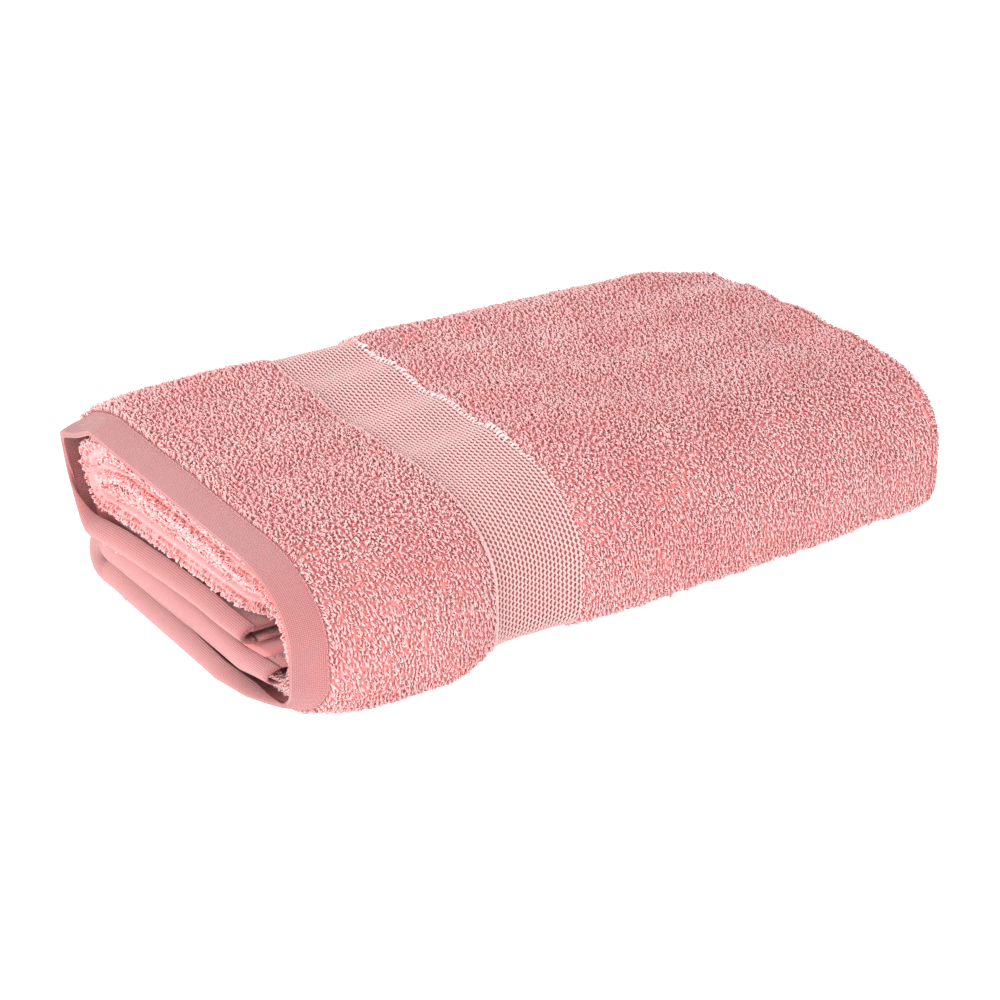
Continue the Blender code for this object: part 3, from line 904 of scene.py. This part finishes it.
class TOWEL_OT_borders(bpy.types.Operator):
    """Weave the two border bands, the raised net on the outer one and the floats along its edges"""

    bl_idname = "towel.borders"
    bl_label = "Border Bands"

    net_swing = 0.24            # half the sideways swing of a net yarn, in net pitches
    float_size = (0.0030, 0.0007, 0.0014)   # length, radius and rise of the largest float
    float_stray = 0.0006        # how far a float lies off the band's edge
    float_slants = (0.0002, 0.0020)
    cord_radius = 0.0008
    cord_wobble = 0.00018

    def execute(self, context):
        fold, weave, looks = plan(context.scene)
        across = fold.between_hems(0.0035)
        distances = np.linspace(weave.border_start, weave.border_start + weave.border_width, 18)

        def ground(along, station):
            return np.full_like(along, weave.band_fill / 2)

        yarns = self.net(fold, looks) + self.edges(fold, looks)
        for letter, station in (("a", fold.outer_station), ("b", fold.inner_station)):
            name = f"border_cloth_{letter}"
            mesh = cloth_zone(name, fold, np.sort(station(distances)), across, ground)
            nodes = [f"border_band_{letter}"]
            if letter == "b":
                nodes += ["border_float_outer_b", "border_float_inner_b"]
            piece = link(name, mesh, looks["band"], nodes)
        return {"FINISHED"}

    @staticmethod
    def lift(fold, across, height):
        """Lift of something that stands this high above the band's face."""
        return fold.weave.band_fill / 2 + height / fold.pitch(across)

    def net(self, fold, looks):
        """Zigzag yarns side by side, each the mirror of the next, which leave diamond holes."""
        weave = fold.weave
        count = round(weave.border_width / weave.net_pitch)
        step = weave.net_rise / 2
        across = fold.even_stations(0.85, 6.15, step)
        rows = np.arange(len(across))
        pieces = []
        for half in range(2):
            lines = np.arange(half, count, 2)[:, None]
            centres = weave.border_start + (lines + 0.5) * weave.border_width / count
            swing = self.net_swing * np.cos(np.pi * rows / 2 + np.pi * half)
            distance = centres + weave.net_pitch * swing[None]
            along = fold.outer_station(distance)
            wide = np.broadcast_to(across, along.shape)
            height = weave.net_yarn * (0.9 + 0.2 * np.cos(np.pi * rows + half))
            place, length_way, _, _ = fold.frames(along, wide, self.lift(fold, wide, height))
            name = f"border_net_{half + 1}"
            mesh, _ = sweep(name, place, length_way, weave.net_yarn, 5)
            pieces.append(link(name, mesh, looks["net"]))
        return pieces

    def edges(self, fold, looks):
        """A row of raised floats on the field side and a thin cord on the hem side."""
        weave = fold.weave
        rng = np.random.default_rng(weave.seed + 50)
        across = fold.even_stations(0.9, 6.1, weave.float_pitch)
        count = (len(across), 1)
        middle = weave.border_start + weave.border_width - self.float_stray
        middle = middle + rng.uniform(-self.float_stray, self.float_stray, count)
        shares = np.linspace(-0.5, 0.5, 5)[None]
        size = 1 - 0.75 * smooth(across, 2.8, 3.3)[:, None]
        size = size * rng.uniform(0.55, 1.2, count)
        slant = rng.uniform(*self.float_slants, count) / weave.float_pitch
        length, radius, rise = (part * size for part in self.float_size)
        wide = across[:, None] + shares * slant * np.gradient(across)[:, None]
        height = 0.0007 + rise * (1 - (2 * shares) ** 2)
        along = fold.outer_station(middle + length * shares)
        place, _, width_way, _ = fold.frames(along, wide, self.lift(fold, wide, height))
        taper = radius * np.sqrt(1.04 - (1.9 * shares) ** 2)
        mesh, _ = sweep("border_floats", place, width_way, taper, 6)
        nodes = ["border_float_inner_a"]
        floats = link("border_floats", mesh, looks["float"], nodes)
        across = fold.even_stations(0.9, 6.1, 0.0012)[None]
        wobble = self.cord_wobble * np.sin(np.arange(across.size) * 2.2)
        along = fold.outer_station(weave.border_start + 0.0003 + wobble)[None]
        place, length_way, _, _ = fold.frames(along, across, self.lift(fold, across, 0.0009))
        mesh, _ = sweep("border_edge_cord", place, length_way, self.cord_radius, 6)
        nodes = ["border_float_outer_a"]
        cord = link("border_edge_cord", mesh, looks["net"], nodes)
        return [floats, cord]


class TOWEL_OT_hems(bpy.types.Operator):
    """Turn the two end hems and the two side hems"""

    bl_idname = "towel.hems"
    bl_label = "Hems"

    edge_round = 0.0011                         # how far in from its edge a hem is rounded off
    edge_steps = np.array([0, 0.06, 0.25, 0.6, 1.0])
    seam_inset = 0.0022                         # from a hem's inner edge to its stitches
    stitch_dip = np.array([-0.3, 0.9, 0.9, -0.3])   # a stitch's height, in thread radii

    def execute(self, context):
        fold, weave, looks = plan(context.scene)
        across = fold.even_stations(0, LAST_STATION, 0.0028)
        edge = self.edge_round * self.edge_steps
        middle = np.linspace(self.edge_round, weave.end_hem, 14)[1:-1]
        distances = np.unique(np.concatenate([edge, middle, weave.end_hem - np.delete(edge, 1)]))
        ends = (("a", fold.outer_station, 0, 5.3), ("b", fold.inner_station, SPANS, 1.0))
        for letter, station, outside, last in ends:
            unit_size = abs(station(1.0) - station(0.0))
            fill = self.rounded(weave, weave.end_hem, 0, outside, unit_size)
            name = f"end_hem_cloth_{letter}"
            mesh = cloth_zone(name, fold, np.sort(station(distances)), across, fill)
            piece = link(name, mesh, looks["hem"], [f"end_hem_{letter}"])
            place = self.four_by_four(fold.even_stations(0.05, last, weave.stitch_length / 4))
            along = np.full_like(place, station(weave.end_hem - self.seam_inset))
            name = f"end_hem_stitches_{letter}"
            stitches = self.stitches(fold, name, along, place, 0, looks["thread"])
        self.side_hems(fold, looks)
        return {"FINISHED"}

    def rounded(self, weave, width, axis, outside, unit_size):
        """A hem's half share of a layer by stations, rounded off at both edges of the hem."""

        def fill(*stations):
            distance = np.abs(stations[axis] - outside) / unit_size
            inside = np.clip(np.minimum(distance, width - distance) / self.edge_round, 0, 1)
            return weave.hem_fill / 2 * np.sqrt(np.clip(1 - (1 - inside) ** 2, 0.02, 1))

        return fill

    @staticmethod
    def four_by_four(stations):
        """Stations in rows of four, one row to a stitch."""
        return stations[: len(stations) // 4 * 4].reshape(-1, 4)

    def stitches(self, fold, name, along, across, axis, material, cloth=None):
        """A row of stitches through the given stations, four to a stitch."""
        weave = fold.weave
        lift = weave.hem_fill / 2 + self.stitch_dip * weave.thread / fold.pitch(across)
        place, *ways = fold.frames(along, across, lift)
        mesh, _ = sweep(name, place, ways[axis], weave.thread, 5)
        nodes = [name.replace("stitches", "stitching")]
        return link(name, mesh, material, nodes, cloth)

    def side_hems(self, fold, looks):
        weave = fold.weave
        border = weave.end_hem + 0.0004
        first, last = float(fold.outer_station(border)), float(fold.inner_station(border))
        stops, counts = (first, 1, 2, 3, 4, 5, 6, last), (60, 12, 12, 10, 12, 8, 16)
        runs = [np.linspace(*run) for run in zip(stops, stops[1:], counts)]
        along = np.unique(np.concatenate(runs))
        edge = self.edge_round * self.edge_steps
        distances = np.concatenate([edge, [0.003, 0.005, 0.007], weave.side_hem - edge])
        step = weave.stitch_length / 4 / fold.bend_centre
        seam_start = float(fold.outer_station(weave.end_hem + 0.001))
        seam = self.four_by_four(np.arange(seam_start, 1, step))
        for label, lower, outside in (("upper", False, 0), ("lower", True, SPANS)):
            stations = fold.side_station(np.unique(distances), lower)
            across = np.sort(np.minimum(stations, LAST_STATION))
            unit_size = abs(fold.side_station(1.0, lower) - fold.side_station(0.0, lower))
            fill = self.rounded(weave, weave.side_hem, 1, outside, unit_size)
            name = f"side_hem_cloth_{label}"
            mesh = cloth_zone(name, fold, along, across, fill)
            nodes = [f"side_hem_{label}"]
            link(name, mesh, looks["hem"], nodes, "main_pile_cloth")
            across = np.full_like(seam, fold.side_station(weave.side_hem - self.seam_inset, lower))
            name = f"side_stitches_{label}"
            self.stitches(fold, name, seam, across, 1, looks["thread"], "main_pile_cloth")


class TOWEL_OT_stage(bpy.types.Operator):
    """Set the pale floor, the soft studio lights and the camera"""

    bl_idname = "towel.stage"
    bl_label = "Studio"

    def execute(self, context):
        scene = context.scene
        self.floor(scene)
        self.sky(scene)
        for light in LIGHTS:
            self.light(scene, *light)
        self.camera(scene)
        scene.view_settings.view_transform = "Standard"
        return {"FINISHED"}

    @staticmethod
    def floor(scene):
        sheet = bmesh.new()
        bmesh.ops.create_grid(sheet, x_segments=1, y_segments=1, size=6)
        bmesh.ops.translate(sheet, vec=(0, 0, BOX_LOW[2] - 0.0001), verts=list(sheet.verts))
        mesh = bpy.data.meshes.new("floor")
        sheet.to_mesh(mesh)
        sheet.free()
        material = bpy.data.materials.new("studio_floor")
        material.use_nodes = True
        tree = material.node_tree
        shader = tree.nodes["Principled BSDF"]
        set_inputs(shader, {
            "Roughness": 0.9, "Specular IOR Level": 0.1,
            "Emission Color": (1, 1, 1, 1), "Emission Strength": 0.8,
        })
        noise = new_node(tree, "ShaderNodeTexNoise")
        noise.inputs["Scale"].default_value = 3
        place = new_node(tree, "ShaderNodeTexCoord")
        tree.links.new(place.outputs["Object"], noise.inputs["Vector"])
        base = scene.towel_colours.floor
        paint = mix_colours(tree, noise.outputs["Fac"], rgba(base), rgba(base, 0.99))
        tree.links.new(paint, shader.inputs["Base Color"])
        mesh.materials.append(material)
        floor = bpy.data.objects.new("floor", mesh)
        scene.collection.objects.link(floor)

    @staticmethod
    def sky(scene):
        world = scene.world or bpy.data.worlds.new("studio")
        scene.world = world
        world.use_nodes = True
        backdrop = world.node_tree.nodes["Background"]
        set_inputs(backdrop, {"Color": (1, 1, 1, 1), "Strength": 1.0})

    @staticmethod
    def light(scene, name, place, size, power):
        lamp = bpy.data.lights.new(name, "AREA")
        lamp.shape = "SQUARE"
        lamp.size = size
        lamp.energy = power
        holder = bpy.data.objects.new(name, lamp)
        holder.location = place
        aim = Vector(AIM) - Vector(place)
        holder.rotation_euler = aim.to_track_quat("-Z", "Y").to_euler()
        scene.collection.objects.link(holder)

    @staticmethod
    def camera(scene):
        """Above the near left corner, at the distance that gives the towel's perspective."""
        lens = bpy.data.cameras.new("camera")
        lens.lens = CAMERA_LENS
        lens.sensor_width = 36
        lens.clip_start = 0.01
        camera = bpy.data.objects.new("camera", lens)
        azimuth, elevation = (math.radians(turn) for turn in CAMERA_TURN)
        camera.location = Vector(BOX_LOW) + Vector(CAMERA_PLACE)
        camera.rotation_euler = (math.pi / 2 - elevation, 0, azimuth)
        scene.collection.objects.link(camera)
        scene.camera = camera


class TOWEL_PT_panel(bpy.types.Panel):
    """Towel sizes, colours and builders"""

    bl_label = "Folded Bath Towel"
    bl_idname = "TOWEL_PT_panel"
    bl_space_type = "VIEW_3D"
    bl_region_type = "UI"
    bl_category = "Towel"

    def draw(self, context):
        for operator in OPERATORS:
            self.layout.operator(operator.bl_idname)
        for group, kind in GROUPS.items():
            box = self.layout.box()
            for name in kind.__annotations__:
                box.prop(getattr(context.scene, group), name)


GROUPS = {"towel_fold": TowelFold, "towel_weave": TowelWeave, "towel_colours": TowelColours}
OPERATORS = (
    TOWEL_OT_stage,
    TOWEL_OT_pile_cloth,
    TOWEL_OT_pile_loops,
    TOWEL_OT_borders,
    TOWEL_OT_hems,
)


def register():
    for kind in (*GROUPS.values(), *OPERATORS, TOWEL_PT_panel):
        bpy.utils.register_class(kind)
    for name, kind in GROUPS.items():
        setattr(bpy.types.Scene, name, PointerProperty(type=kind))


def unregister():
    for name in GROUPS:
        delattr(bpy.types.Scene, name)
    for kind in reversed((*GROUPS.values(), *OPERATORS, TOWEL_PT_panel)):
        bpy.utils.unregister_class(kind)


def main():
    register()
    bpy.ops.towel.stage()
    bpy.ops.towel.pile_cloth()
    bpy.ops.towel.pile_loops()
    bpy.ops.towel.borders()
    bpy.ops.towel.hems()


if __name__ == "__main__":
    main()
